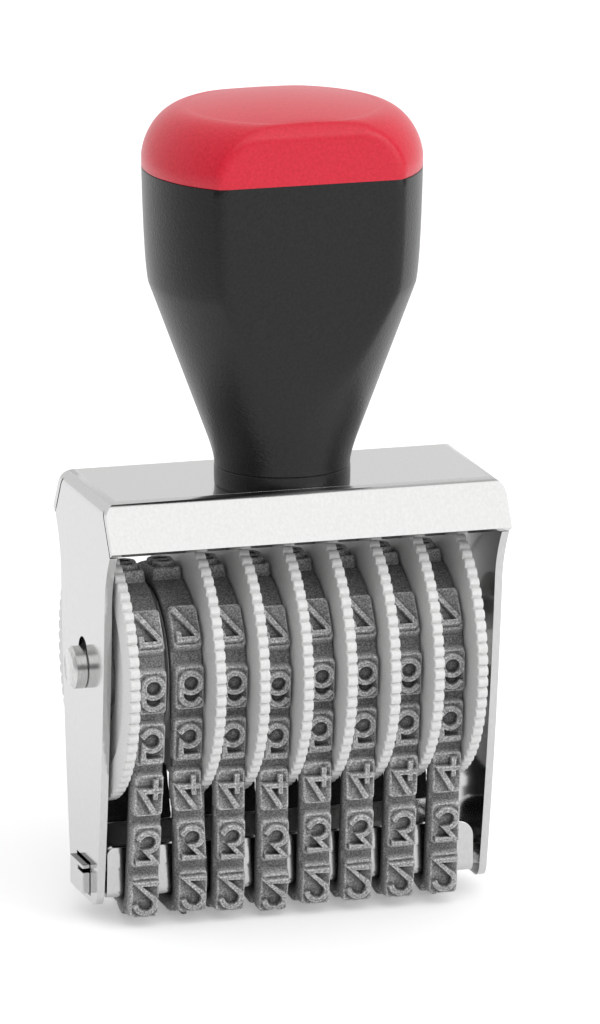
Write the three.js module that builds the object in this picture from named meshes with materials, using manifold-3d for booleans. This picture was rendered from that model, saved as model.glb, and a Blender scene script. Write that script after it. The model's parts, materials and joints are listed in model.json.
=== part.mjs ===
// Band stamp: eight rubber number bands on toothed wheels, in a bent sheet frame under a round handle.
// Millimetres, +Z up. The origin is the middle of the print face. -Y is the front and -X the left side.
import * as THREE from "three";
import { mergeVertices } from "three/addons/utils/BufferGeometryUtils.js";
import Module from "manifold-3d";

const wasm = await Module();
wasm.setup();

// Frame, one piece of bent sheet
const frameTop = 57.1;
const sheet = 1.0;
const bendRadius = 2.0;
const plateHalfDepth = 10.4;
const lipReach = 3.8;
const lipDrop = 5.9;
const lipSlit = 0.3;
const rightLean = 0.9;
const waistHeight = 43.0;
const waistHalfDepth = 10.5;
const flankHeight = 24.0;
const flankHalfDepth = 9.6;
const footHeight = 2.4;
const footHalfDepth = 6.4;
const footRadius = 2.0;

// Axle and its two heads
const axleHeight = 33.1;
const axleRadius = 4.0;
const axleEndRadius = 1.9;
const axleChamfer = 0.3;
const axleSlotRise = 4.0;
const headRadius = 2.8;
const headLength = 1.9;
const headChamfer = 0.45;
const headFloor = 0.7;

// Number wheels
const wheelCount = 8;
const wheelRadius = 17.5;
const toothCount = 72;
const toothDepth = 0.65;
const rimThickness = 1.35;
const rimWidth = 4.0;
const rimRecess = 0.4;
const webThickness = 0.8;
const drumWall = 1.4;
const bossWall = 1.2;
const ribCount = 4;
const ribThickness = 0.9;
const ribSetBack = 1.0;
const ribTurnShare = 0.09;
const wheelPitch = 5.86;
const firstGap = 0.55;
const middleSpacer = 1.1;
const bushLength = 2.425;

// Number bands
const bandWidth = 4.2;
const bandBase = 1.3;
const bandPitchRadius = 11.0;
const padCount = 16;
const padLength = 5.7;
const padInset = 0.1;
const faceLength = 5.0;
const faceWidth = 3.4;
const faceRise = 1.9;
const padSunk = 0.8;
const phaseShare = 0.32;

// Bridge that the bands run round at the bottom
const bridgeHalfDepth = 6.7;
const bridgeWall = 6.9;
const bridgeBend = 1.2;
const bridgeCorner = 2.0;
const bridgeRightGap = 1.07;
const tabHalfDepth = 3.0;
const tabHeight = 3.9;
const tabReach = 1.0;
const tabSlit = 0.5;
const tabLid = 0.6;

// Handle
const neckRadius = 8.8;
const neckHeight = 2.7;
const flareHeight = 5.4;
const flareRadius = 9.8;
const bellyRadius = 17.6;
const bellyHeight = 26.3;
const shoulderHeight = 27.9;
const shoulderRadius = 17.8;
const seamHeight = 40.7;
const seamRadius = 18.15;
const flatDepth = 13.4;
const flatFootDepth = 12.2;
const ringHeight = 1.4;
const ringProud = 0.35;
const capHeight = 8.9;
const capSide = 1.6;
const capCrown = 1.0;
const capRound = 5.8;
const capDraft = 0.4;
const spigotInset = 3.1;
const spigotHeight = 3.2;

// Screw that holds the handle on the frame
const screwRadius = 2.0;
const screwLength = 22.0;
const screwHeadRadius = 4.2;
const screwHeadHeight = 2.2;
const screwHeadChamfer = 0.7;
const screwSlotWidth = 1.0;
const screwSlotDepth = 1.0;
const washerRadius = 5.6;
const washerThickness = 0.9;

// Clearances, and the overrun of a cutter past what it cuts
const runGap = 0.15;
const fitGap = 0.3;
const overrun = 1.0;

// Steps round a full turn, and along a bend or a curve
const wheelSteps = 14;
const bandSteps = 12;
const handleSteps = 32;
const smallSteps = 14;
const bendSteps = 3;
const curveSteps = 4;

// Finishes
const finish = (color, roughness, metalness) =>
  new THREE.MeshStandardMaterial({ color, roughness, metalness });
const nickel = () => finish(0xd6d6d4, 0.22, 1.0);
const steel = () => finish(0xc4c4c2, 0.3, 1.0);
const wheelPlastic = () => finish(0xe4e4e0, 0.45, 0.0);
const bandRubber = () => finish(0x75757a, 0.8, 0.0);
const blackPlastic = () => finish(0x1d1d1f, 0.55, 0.0);
const redPlastic = () => finish(0xd2333c, 0.5, 0.0);

// Solids: closed geometry in, closed geometry out
function solid(geometry) {
  const bare = geometry.clone();
  bare.deleteAttribute("normal");
  bare.deleteAttribute("uv");
  const merged = mergeVertices(bare);
  return new wasm.Manifold(new wasm.Mesh({
    numProp: 3,
    vertProperties: new Float32Array(merged.attributes.position.array),
    triVerts: new Uint32Array(merged.index.array),
  }));
}

function geometryOf(body) {
  const mesh = body.getMesh();
  const geometry = new THREE.BufferGeometry();
  geometry.setAttribute("position", new THREE.BufferAttribute(mesh.vertProperties, 3));
  geometry.setIndex(new THREE.BufferAttribute(mesh.triVerts, 1));
  geometry.computeVertexNormals();
  return geometry;
}

// A corner of an outline: where it is, and the radius that rounds it
const corner = (x, y, radius = 0) => ({ at: new THREE.Vector2(x, y), radius });

// The outline through a list of corners, with each rounded corner as an arc
function outline(corners) {
  const points = [];
  corners.forEach((here, i) => {
    const before = corners.at(i - 1).at;
    const after = corners[(i + 1) % corners.length].at;
    if (here.radius === 0) {
      points.push(here.at);
      return;
    }
    const back = before.clone().sub(here.at).normalize();
    const on = after.clone().sub(here.at).normalize();
    const half = Math.acos(THREE.MathUtils.clamp(back.dot(on), -1, 1)) / 2;
    const start = here.at.clone().addScaledVector(back, here.radius / Math.tan(half));
    const end = here.at.clone().addScaledVector(on, here.radius / Math.tan(half));
    const middle = back.clone().add(on).normalize();
    const centre = here.at.clone().addScaledVector(middle, here.radius / Math.sin(half));
    const from = start.clone().sub(centre).angle();
    const sweep = Math.PI - 2 * half;
    const turn = Math.sign(start.clone().sub(centre).cross(end.clone().sub(centre)));
    for (let k = 0; k <= bendSteps; k += 1) {
      const angle = from + turn * sweep * k / bendSteps;
      points.push(new THREE.Vector2(Math.cos(angle), Math.sin(angle))
        .multiplyScalar(here.radius).add(centre));
    }
  });
  return points;
}

// The outline of sheet bent along a line of corners, with the sheet on the right of the line
function bentStrip(line, thickness, outerRadius) {
  const points = line.map(([x, y]) => new THREE.Vector2(x, y));
  const right = points.slice(1).map((p, i) => {
    const along = p.clone().sub(points[i]).normalize();
    return new THREE.Vector2(along.y, -along.x);
  });
  const outer = [];
  const inner = [];
  points.forEach((p, i) => {
    const before = right[Math.max(i - 1, 0)];
    const after = right[Math.min(i, right.length - 1)];
    const shift = before.clone().add(after).multiplyScalar(thickness / (1 + before.dot(after)));
    const inside = p.clone().add(shift);
    const bent = i > 0 && i < points.length - 1;
    const convex = before.cross(after) < 0;
    const outerBend = convex ? outerRadius : outerRadius - thickness;
    const innerBend = convex ? outerRadius - thickness : outerRadius;
    outer.push(corner(p.x, p.y, bent ? outerBend : 0));
    inner.push(corner(inside.x, inside.y, bent ? innerBend : 0));
  });
  return outline([...outer, ...inner.reverse()]);
}

// Prisms along Y from an outline in X and Z, and along X from an outline in Y and Z
function extruded(points, length) {
  const shape = new THREE.Shape(points);
  return new THREE.ExtrudeGeometry(shape, { depth: length, bevelEnabled: false });
}

function prismAlongY(points, from, to) {
  return solid(extruded(points, to - from).rotateX(Math.PI / 2).translate(0, to, 0));
}

function prismAlongX(points, from, to) {
  const turn = new THREE.Matrix4().makeBasis(
    new THREE.Vector3(0, 1, 0), new THREE.Vector3(0, 0, 1), new THREE.Vector3(1, 0, 0));
  return solid(extruded(points, to - from).applyMatrix4(turn).translate(from, 0, 0));
}

function box(x0, x1, y0, y1, z0, z1) {
  return solid(new THREE.BoxGeometry(x1 - x0, y1 - y0, z1 - z0)
    .translate((x0 + x1) / 2, (y0 + y1) / 2, (z0 + z1) / 2));
}

// A closed profile of [along, radius] points turned round the Z axis, or round the axle line
function latheGeometry(profile, steps) {
  const points = [...profile, profile[0]].map(([along, radius]) => new THREE.Vector2(radius, along));
  return new THREE.LatheGeometry(points, steps).rotateX(Math.PI / 2);
}

function turnedZ(profile, steps) {
  return orient(solid(latheGeometry(profile, steps)));
}

function turnedX(profile, steps) {
  return orient(solid(latheGeometry(profile, steps).rotateY(Math.PI / 2)));
}

// A revolve of a clockwise profile faces inwards, so it is turned inside out
function orient(body) {
  if (body.volume() > 0) {
    return body;
  }
  const mesh = body.getMesh();
  return new wasm.Manifold(new wasm.Mesh({
    numProp: 3,
    vertProperties: mesh.vertProperties,
    triVerts: mesh.triVerts.slice().reverse(),
  }));
}

// Places worked out from the sizes. What sits on the axle side by side sets the frame's width.
const drumLength = wheelPitch - rimThickness - runGap;
const wheelLength = rimThickness + drumLength;
const firstPair = wheelLength + middleSpacer + 2 * runGap + wheelLength;
const axleStack = firstGap + firstPair + (wheelCount - 2) * wheelPitch + runGap + bushLength + fitGap;
const leanAt = (z) => rightLean * (frameTop - z) / (frameTop - footHeight);
const frameWidth = axleStack + 2 * sheet + leanAt(axleHeight);
const halfWidth = frameWidth / 2;
const leftInner = -halfWidth + sheet;
const rightOuterAt = (z) => halfWidth - leanAt(z);
const rightInnerAt = (z) => rightOuterAt(z) - sheet;
const lipHalfDepth = plateHalfDepth + lipReach;
const bandInnerRadius = bandPitchRadius - bandBase / 2;
const faceOffset = bandBase / 2 + faceRise;
const bridgeBottom = faceOffset + bandBase / 2 + fitGap;
const bridgeTop = bridgeBottom + bridgeWall;
const drumRadius = bandInnerRadius - fitGap;
const boreRadius = axleRadius + fitGap;
const handleFoot = frameTop;

const part = new THREE.Group();
part.name = "band_stamp";

function addPiece(name, body, material) {
  const mesh = new THREE.Mesh(geometryOf(body), material);
  mesh.name = name;
  part.add(mesh);
  return mesh;
}

// Frame: top plate, two side plates and two sloping lips
function sideOutline() {
  const slope = new THREE.Vector2(lipReach, -lipDrop).normalize();
  const under = new THREE.Vector2(slope.y, -slope.x).multiplyScalar(sheet + lipSlit);
  const tip = new THREE.Vector2(lipHalfDepth, frameTop - lipDrop).add(under);
  const plateUnder = frameTop - sheet;
  const inset = tip.x - lipReach * (plateUnder - tip.y) / lipDrop;
  const flank = new THREE.QuadraticBezierCurve(
    new THREE.Vector2(waistHalfDepth, waistHeight),
    new THREE.Vector2(flankHalfDepth, flankHeight),
    new THREE.Vector2(footHalfDepth, footHeight + footRadius));
  const wing = new THREE.QuadraticBezierCurve(
    tip,
    new THREE.Vector2(waistHalfDepth, (waistHeight + tip.y) / 2),
    new THREE.Vector2(waistHalfDepth, waistHeight));
  const half = [
    new THREE.Vector2(inset, frameTop),
    new THREE.Vector2(inset, plateUnder),
    ...wing.getPoints(curveSteps).slice(0, -1),
    ...flank.getPoints(curveSteps),
    ...outline([
      corner(footHalfDepth, footHeight + footRadius),
      corner(footHalfDepth, footHeight, footRadius),
      corner(0, footHeight),
    ]).slice(1, -1),
  ];
  return [...half, ...half.map((p) => new THREE.Vector2(-p.x, p.y)).reverse()];
}

function makeFrame() {
  const legs = bentStrip([
    [-halfWidth, footHeight],
    [-halfWidth, frameTop],
    [halfWidth, frameTop],
    [halfWidth - rightLean, footHeight],
  ], sheet, bendRadius);
  const body = prismAlongY(legs, -lipHalfDepth, lipHalfDepth)
    .intersect(prismAlongX(sideOutline(), -halfWidth - overrun, halfWidth + overrun));
  const roof = bentStrip([
    [-lipHalfDepth, frameTop - lipDrop],
    [-plateHalfDepth, frameTop],
    [plateHalfDepth, frameTop],
    [lipHalfDepth, frameTop - lipDrop],
  ], sheet, bendRadius);
  const silhouette = outline([
    corner(-halfWidth, footHeight),
    corner(halfWidth - rightLean, footHeight),
    corner(halfWidth, frameTop, bendRadius),
    corner(-halfWidth, frameTop, bendRadius),
  ]);
  const lips = prismAlongX(roof, -halfWidth, halfWidth)
    .intersect(prismAlongY(silhouette, -lipHalfDepth - overrun, lipHalfDepth + overrun));
  return body.add(lips)
    .subtract(makeAxleSlots())
    .subtract(makeTabSlots())
    .subtract(makeScrewHole(screwRadius + fitGap));
}

// An upright slot with round ends in each side plate, for the end of the axle
function makeAxleSlots() {
  const radius = axleEndRadius + fitGap;
  const points = [];
  for (let k = 0; k <= smallSteps / 2; k += 1) {
    const angle = Math.PI * k / (smallSteps / 2);
    points.push([Math.cos(angle) * radius, Math.sin(angle) * radius]);
  }
  const rise = axleSlotRise - radius;
  const round = [
    ...points.map(([y, z]) => new THREE.Vector2(y, axleHeight + rise + z)),
    ...points.map(([y, z]) => new THREE.Vector2(-y, axleHeight - z)),
  ];
  return prismAlongX(round, -halfWidth - overrun, halfWidth + overrun);
}

// The slots that the bridge's end tabs pass through
function makeTabSlots() {
  const top = bridgeBottom + tabHeight + fitGap;
  const depth = tabHalfDepth + fitGap;
  const bottom = bridgeBottom - fitGap;
  return box(-halfWidth - overrun, halfWidth + overrun, -depth, depth, bottom, top);
}

function makeScrewHole(radius) {
  return turnedZ([
    [frameTop - sheet - overrun, 0],
    [frameTop - sheet - overrun, radius],
    [frameTop + overrun, radius],
    [frameTop + overrun, 0],
  ], smallSteps);
}

// Bridge: a channel open upwards, with a tab at each end
function makeBridge() {
  const channel = bentStrip([
    [bridgeHalfDepth, bridgeTop],
    [bridgeHalfDepth, bridgeBottom],
    [-bridgeHalfDepth, bridgeBottom],
    [-bridgeHalfDepth, bridgeTop],
  ], sheet, bridgeBend);
  const left = leftInner + fitGap;
  const right = rightInnerAt(bridgeTop) - bridgeRightGap;
  const face = outline([
    corner(left, bridgeBottom),
    corner(right, bridgeBottom),
    corner(right, bridgeTop, bridgeCorner),
    corner(left, bridgeTop, bridgeCorner / 2),
  ]);
  const trough = prismAlongX(channel, left, right)
    .intersect(prismAlongY(face, -bridgeHalfDepth - overrun, bridgeHalfDepth + overrun));
  const tabTop = bridgeBottom + tabHeight;
  const lidUnder = tabTop - tabLid;
  const tab = (from, to) => box(from, to, -tabHalfDepth, tabHalfDepth, bridgeBottom, tabTop)
    .subtract(box(from, to, -tabHalfDepth - overrun, -sheet / 2, lidUnder - tabSlit, lidUnder));
  const leftTab = tab(-halfWidth - tabReach, left + sheet);
  const rightTab = tab(right - sheet, rightOuterAt(bridgeBottom) + tabReach);
  return trough.add(leftTab).add(rightTab);
}

// Axle: a bar with a reduced, chamfered end in each side plate's slot
function makeAxle() {
  const left = leftInner + fitGap;
  const right = rightInnerAt(axleHeight) - fitGap;
  const leftEnd = -halfWidth - headLength + headFloor;
  const rightEnd = rightOuterAt(axleHeight) + headLength - headFloor;
  return turnedX([
    [leftEnd, 0],
    [leftEnd, axleEndRadius - axleChamfer],
    [leftEnd + axleChamfer, axleEndRadius],
    [left, axleEndRadius],
    [left, axleRadius - axleChamfer],
    [left + axleChamfer, axleRadius],
    [right - axleChamfer, axleRadius],
    [right, axleRadius - axleChamfer],
    [right, axleEndRadius],
    [rightEnd - axleChamfer, axleEndRadius],
    [rightEnd, axleEndRadius - axleChamfer],
    [rightEnd, 0],
  ], smallSteps);
}

// An axle head: a chamfered button, pressed on the axle's end outside the side plate
function makeAxleHead() {
  const socket = axleEndRadius + fitGap;
  const depth = headLength - headFloor + fitGap;
  return turnedX([
    [fitGap, socket],
    [fitGap, headRadius],
    [headLength - headChamfer, headRadius],
    [headLength, headRadius - headChamfer],
    [headLength, 0],
    [depth, 0],
    [depth, socket],
  ], smallSteps);
}

function makeSpacer(length) {
  const inner = axleRadius + fitGap;
  const outer = inner + bossWall;
  return turnedX([[0, inner], [0, outer], [length, outer], [length, inner]], smallSteps);
}

// Number wheel: a toothed rim, recessed on its outer face, and a drum that carries the band. The drum
// is a deep pocket open to the outer face, with ribs between its wall and the boss round the axle.
// The outer face lies at zero and the drum points to minus X.
function makeWheel() {
  const step = 2 * Math.PI / toothCount;
  const teeth = [];
  for (let k = 0; k < toothCount; k += 1) {
    const root = wheelRadius - toothDepth;
    teeth.push(new THREE.Vector2(Math.cos(k * step) * wheelRadius, Math.sin(k * step) * wheelRadius));
    const gap = (k + 1 / 2) * step;
    teeth.push(new THREE.Vector2(Math.cos(gap) * root, Math.sin(gap) * root));
  }
  const recessRadius = wheelRadius - rimWidth;
  const pocketRadius = drumRadius - drumWall;
  const bossRadius = boreRadius + bossWall;
  const floor = webThickness - wheelLength;
  const disc = turnedX([
    [-rimRecess, pocketRadius],
    [-rimRecess, recessRadius],
    [0, recessRadius],
    [0, wheelRadius + overrun],
    [-rimThickness, wheelRadius + overrun],
    [-rimThickness, drumRadius],
    [-wheelLength, drumRadius],
    [-wheelLength, boreRadius],
    [-rimRecess, boreRadius],
    [-rimRecess, bossRadius],
    [floor, bossRadius],
    [floor, pocketRadius],
  ], wheelSteps);
  const ribs = [];
  for (let k = 0; k < ribCount; k += 1) {
    const rib = box(floor - webThickness / 2, -rimRecess - ribSetBack, bossRadius - bossWall / 2,
      pocketRadius + drumWall / 2, -ribThickness / 2, ribThickness / 2);
    const turn = 2 * Math.PI * (k / ribCount + ribTurnShare);
    ribs.push(rib.rotate([THREE.MathUtils.radToDeg(turn), 0, 0]));
  }
  const wheel = wasm.Manifold.union([disc, ...ribs]);
  return wheel.intersect(prismAlongX(teeth, -wheelLength - overrun, overrun));
}

// The three arcs of a band's middle line, in Y and Z: over the drum, and round the bridge's two lower
// corners. Angles run from the back, +Y, over the top, so the front is half a turn.
function bandArcs() {
  const radius = bridgeBend + fitGap + bandBase / 2;
  const y = bridgeHalfDepth - bridgeBend;
  const z = bridgeBottom + bridgeBend;
  const rise = axleHeight - z;
  const taper = Math.asin((bandPitchRadius - radius) / Math.hypot(y, rise)) - Math.atan(y / rise);
  const down = 3 * Math.PI / 2;
  return [
    { y: 0, z: axleHeight, radius: bandPitchRadius, from: -taper, to: Math.PI + taper, steps: bandSteps },
    { y: -y, z, radius, from: Math.PI + taper, to: down, steps: bendSteps },
    { y, z, radius, from: down, to: 2 * Math.PI - taper, steps: bendSteps },
  ];
}

// The loop at a distance outside that line, or inside it where the distance is negative
function bandOutline(distance) {
  return bandArcs().flatMap((arc) => {
    const points = [];
    for (let k = 0; k <= arc.steps; k += 1) {
      const angle = arc.from + (arc.to - arc.from) * k / arc.steps;
      points.push(new THREE.Vector2(
        arc.y + Math.cos(angle) * (arc.radius + distance),
        arc.z + Math.sin(angle) * (arc.radius + distance)));
    }
    return points;
  });
}

// A block for one character, narrower at its printing face, with Y out of the band and X along it
function padGeometry() {
  const height = faceOffset - bandBase / 2 + padSunk;
  const pad = new THREE.BoxGeometry(padLength, height, bandWidth - 2 * padInset);
  const place = pad.attributes.position;
  for (let k = 0; k < place.count; k += 1) {
    if (place.getY(k) > 0) {
      place.setX(k, Math.sign(place.getX(k)) * faceLength / 2);
      place.setZ(k, Math.sign(place.getZ(k)) * faceWidth / 2);
    }
  }
  return pad.translate(0, faceOffset - height / 2, 0);
}

// Number band: an endless rubber strip with a block for each character, evenly spaced along it
function makeBand() {
  const half = bandBase / 2;
  const shape = new THREE.Shape(bandOutline(half));
  shape.holes.push(new THREE.Path(bandOutline(-half)));
  const strip = new THREE.ExtrudeGeometry(shape, { depth: bandWidth, bevelEnabled: false });
  const turn = new THREE.Matrix4().makeBasis(
    new THREE.Vector3(0, 1, 0), new THREE.Vector3(0, 0, 1), new THREE.Vector3(1, 0, 0));
  const line = new THREE.Path();
  bandArcs().forEach((arc) => line.absarc(arc.y, arc.z, arc.radius, arc.from, arc.to, false));
  line.closePath();
  const pads = [];
  for (let k = 0; k < padCount; k += 1) {
    const share = (k + phaseShare) / padCount;
    const point = line.getPoint(share);
    const along = line.getTangent(share);
    const place = new THREE.Matrix4().makeBasis(
      new THREE.Vector3(0, along.x, along.y),
      new THREE.Vector3(0, along.y, -along.x),
      new THREE.Vector3(-1, 0, 0));
    place.setPosition(bandWidth / 2, point.x, point.y);
    pads.push(solid(padGeometry().applyMatrix4(place)));
  }
  return wasm.Manifold.union([solid(strip.applyMatrix4(turn)), ...pads]);
}

// Handle: a collar on the top plate, the flared body with its two flats, and the cap. The flats lean in
// towards the foot.
const slab = (lowHalfDepth, highHalfDepth, low, high) => prismAlongX([
  new THREE.Vector2(-lowHalfDepth, low),
  new THREE.Vector2(lowHalfDepth, low),
  new THREE.Vector2(highHalfDepth, high),
  new THREE.Vector2(-highHalfDepth, high),
], -seamRadius - overrun, seamRadius + overrun);

function makeRing() {
  return turnedZ([
    [handleFoot, screwRadius + fitGap],
    [handleFoot, neckRadius + ringProud],
    [handleFoot + ringHeight, neckRadius + ringProud],
    [handleFoot + ringHeight, screwRadius + fitGap],
  ], handleSteps);
}

function makeHandleBody() {
  const at = (height) => handleFoot + height;
  const shoulder = new THREE.QuadraticBezierCurve(
    new THREE.Vector2(at(bellyHeight), bellyRadius),
    new THREE.Vector2(at(shoulderHeight), shoulderRadius),
    new THREE.Vector2(at(seamHeight), seamRadius));
  const foot = new THREE.QuadraticBezierCurve(
    new THREE.Vector2(at(ringHeight), neckRadius),
    new THREE.Vector2(at(neckHeight), neckRadius),
    new THREE.Vector2(at(flareHeight), flareRadius));
  const flare = turnedZ([
    [at(ringHeight), 0],
    ...foot.getPoints(curveSteps).map((p) => [p.x, p.y]),
    ...shoulder.getPoints(curveSteps).map((p) => [p.x, p.y]),
    [at(seamHeight), 0],
  ], handleSteps).intersect(slab(flatFootDepth, flatDepth, handleFoot, at(seamHeight)));
  const inner = flatDepth - spigotInset;
  const spigot = turnedZ([
    [at(seamHeight) - overrun, 0],
    [at(seamHeight) - overrun, seamRadius - spigotInset],
    [at(seamHeight) + spigotHeight, seamRadius - spigotInset],
    [at(seamHeight) + spigotHeight, 0],
  ], handleSteps).intersect(slab(inner, inner, handleFoot, at(seamHeight) + spigotHeight));
  const bore = turnedZ([
    [handleFoot, 0],
    [handleFoot, screwRadius + fitGap],
    [screwTip() + fitGap, screwRadius + fitGap],
    [screwTip() + fitGap, 0],
  ], smallSteps);
  return flare.add(spigot).subtract(bore);
}

function makeHandleCap() {
  const seam = handleFoot + seamHeight;
  const top = seam + capHeight;
  const round = new THREE.CubicBezierCurve(
    new THREE.Vector2(seam + capSide, seamRadius),
    new THREE.Vector2(top - capCrown - capRound / 2, seamRadius - capDraft),
    new THREE.Vector2(top - capCrown, seamRadius - capRound / 2),
    new THREE.Vector2(top - capCrown, seamRadius - capRound));
  const dome = turnedZ([
    [seam, 0],
    [seam, seamRadius],
    ...round.getPoints(curveSteps + 1).map((p) => [p.x, p.y]),
    [top - capCrown / 4, (seamRadius - capRound) / 2],
    [top, 0],
  ], handleSteps);
  const flats = outline([
    corner(-flatDepth, seam - overrun),
    corner(flatDepth, seam - overrun),
    corner(flatDepth, top + capCrown, capRound / 2),
    corner(-flatDepth, top + capCrown, capRound / 2),
  ]);
  const shell = dome.intersect(prismAlongX(flats, -seamRadius - overrun, seamRadius + overrun));
  const inner = flatDepth - spigotInset + fitGap;
  const socket = turnedZ([
    [seam - overrun, 0],
    [seam - overrun, seamRadius - spigotInset + fitGap],
    [seam + spigotHeight + fitGap, seamRadius - spigotInset + fitGap],
    [seam + spigotHeight + fitGap, 0],
  ], handleSteps).intersect(slab(inner, inner, handleFoot, top));
  return shell.subtract(socket);
}

// Screw from under the top plate up into the handle, with its washer
const screwSeat = () => frameTop - sheet - washerThickness;
const screwTip = () => screwSeat() + screwLength;

function makeWasher() {
  return turnedZ([
    [screwSeat(), screwRadius + fitGap],
    [screwSeat(), washerRadius],
    [screwSeat() + washerThickness, washerRadius],
    [screwSeat() + washerThickness, screwRadius + fitGap],
  ], smallSteps);
}

function makeScrew() {
  const under = screwSeat() - screwHeadHeight;
  const turned = turnedZ([
    [under, 0],
    [under, screwHeadRadius - screwHeadChamfer],
    [under + screwHeadChamfer, screwHeadRadius],
    [screwSeat(), screwHeadRadius],
    [screwSeat(), screwRadius],
    [screwTip() - screwRadius, screwRadius],
    [screwTip(), 0],
  ], smallSteps);
  const half = screwSlotWidth / 2;
  const slot = box(-screwHeadRadius, screwHeadRadius, -half, half, under - overrun, under + screwSlotDepth);
  return turned.subtract(slot);
}

addPiece("frame", makeFrame(), nickel());
addPiece("bridge", makeBridge(), nickel());
addPiece("axle", makeAxle(), steel()).position.z = axleHeight;

const headLeft = addPiece("axle_head_left", makeAxleHead(), steel());
headLeft.position.set(-halfWidth, 0, axleHeight);
headLeft.rotation.z = Math.PI;
addPiece("axle_head_right", makeAxleHead(), steel())
  .position.set(rightOuterAt(axleHeight), 0, axleHeight);

// Wheels: the first faces left, and the others face right and follow it at one pitch
const firstWheelFace = leftInner + firstGap;
const firstDrumEnd = firstWheelFace + wheelLength;
const secondWheelFace = firstWheelFace + firstPair;
const wheelFace = (number) => secondWheelFace + (number - 2) * wheelPitch;
const wheelBody = makeWheel();
const bandBody = makeBand();
const bandGap = (wheelPitch - rimThickness - bandWidth) / 2;
for (let number = 1; number <= wheelCount; number += 1) {
  const wheel = addPiece(`number_wheel_${number}`, wheelBody, wheelPlastic());
  wheel.position.set(number === 1 ? firstWheelFace : wheelFace(number), 0, axleHeight);
  wheel.rotation.z = number === 1 ? Math.PI : 0;
  const band = addPiece(`number_band_${number}`, bandBody, bandRubber());
  band.position.x = number === 1
    ? firstWheelFace + rimThickness + bandGap
    : wheelFace(number) - rimThickness - bandGap - bandWidth;
}

addPiece("wheel_spacer", makeSpacer(middleSpacer), steel())
  .position.set(firstDrumEnd + runGap, 0, axleHeight);
addPiece("axle_bush", makeSpacer(bushLength), steel())
  .position.set(wheelFace(wheelCount) + runGap, 0, axleHeight);

addPiece("handle_ring", makeRing(), blackPlastic());
addPiece("handle_body", makeHandleBody(), blackPlastic());
addPiece("handle_cap", makeHandleCap(), redPlastic());
addPiece("handle_screw", makeScrew(), steel());
addPiece("screw_washer", makeWasher(), steel());

export default part;
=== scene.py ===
# Band stamp: the looks of a hand stamp with eight number bands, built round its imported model.
# Metres, +Z up. The front is towards -Y, and the first wheel is on the left, towards -X.
import json
import math

import bmesh
import bpy
from mathutils import Matrix, Vector
from mathutils.bvhtree import BVHTree

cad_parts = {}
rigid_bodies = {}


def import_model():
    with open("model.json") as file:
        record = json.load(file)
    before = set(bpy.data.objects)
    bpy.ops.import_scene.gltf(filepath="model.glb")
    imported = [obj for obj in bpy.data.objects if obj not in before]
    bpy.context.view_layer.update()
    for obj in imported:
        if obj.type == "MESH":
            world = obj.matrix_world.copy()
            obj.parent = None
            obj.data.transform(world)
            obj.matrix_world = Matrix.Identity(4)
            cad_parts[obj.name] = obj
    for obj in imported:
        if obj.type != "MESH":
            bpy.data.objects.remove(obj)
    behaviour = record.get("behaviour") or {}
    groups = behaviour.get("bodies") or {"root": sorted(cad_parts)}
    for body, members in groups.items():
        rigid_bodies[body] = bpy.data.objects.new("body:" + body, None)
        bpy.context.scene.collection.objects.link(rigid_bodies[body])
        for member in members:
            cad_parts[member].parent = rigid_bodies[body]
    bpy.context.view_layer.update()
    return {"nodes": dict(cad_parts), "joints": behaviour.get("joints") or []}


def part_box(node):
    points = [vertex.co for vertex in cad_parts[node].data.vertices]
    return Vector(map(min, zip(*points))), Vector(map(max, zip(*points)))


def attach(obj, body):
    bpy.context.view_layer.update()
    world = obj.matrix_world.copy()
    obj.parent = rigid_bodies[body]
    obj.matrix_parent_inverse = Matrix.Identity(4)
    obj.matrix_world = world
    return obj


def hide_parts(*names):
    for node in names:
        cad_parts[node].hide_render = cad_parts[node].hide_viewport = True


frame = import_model()
MM = 0.001

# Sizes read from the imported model
SHELL_LOW, SHELL_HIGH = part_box("frame")
BRIDGE_LOW, BRIDGE_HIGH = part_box("bridge")
CAP_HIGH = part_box("handle_cap")[1]
RING_LOW, RING_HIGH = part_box("handle_ring")
AXLE_Z = frame["joints"][0]["pos_m"][2]
WHEELS = [name for name in sorted(frame["nodes"]) if name.startswith("number_wheel")]
BANDS = [name for name in sorted(frame["nodes"]) if name.startswith("number_band")]
BAND_LOW, BAND_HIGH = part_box(BANDS[1])

# Frame sheet
SHEET = 1.0 * MM
BEND = 2.0 * MM
PLATE_HALF = 10.4 * MM
LIP_SLIT = 0.3 * MM
RIGHT_LEAN = 0.9 * MM
WAIST_Z, WAIST_HALF = 43.0 * MM, 10.5 * MM
FLANK_Z, FLANK_HALF = 24.0 * MM, 9.6 * MM
FOOT_HALF, FOOT_ROUND = 6.4 * MM, 2.0 * MM
LIP_DROP = 5.9 * MM
SLOT_RADIUS, SLOT_RISE = 2.2 * MM, 4.0 * MM
SCREW_HOLE = 2.3 * MM
EDGE_ROUND = 0.13 * MM
HALF_WIDTH = SHELL_HIGH.x
TOP, FOOT = SHELL_HIGH.z, SHELL_LOW.z
LIP_HALF = SHELL_HIGH.y
LIP_REACH = LIP_HALF - PLATE_HALF

# Bridge
BRIDGE_BEND = 1.2 * MM
BRIDGE_CORNER = 2.0 * MM
BRIDGE_LEFT, BRIDGE_RIGHT = -25.6 * MM, 24.07 * MM
TAB_HALF, TAB_HEIGHT = 3.0 * MM, 3.9 * MM
TAB_SLIT, TAB_LID = 0.5 * MM, 0.6 * MM
TAB_SLIT_END = -0.5 * MM
TAB_CLEAR = 0.3 * MM
BRIDGE_HALF = BRIDGE_HIGH.y

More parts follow.
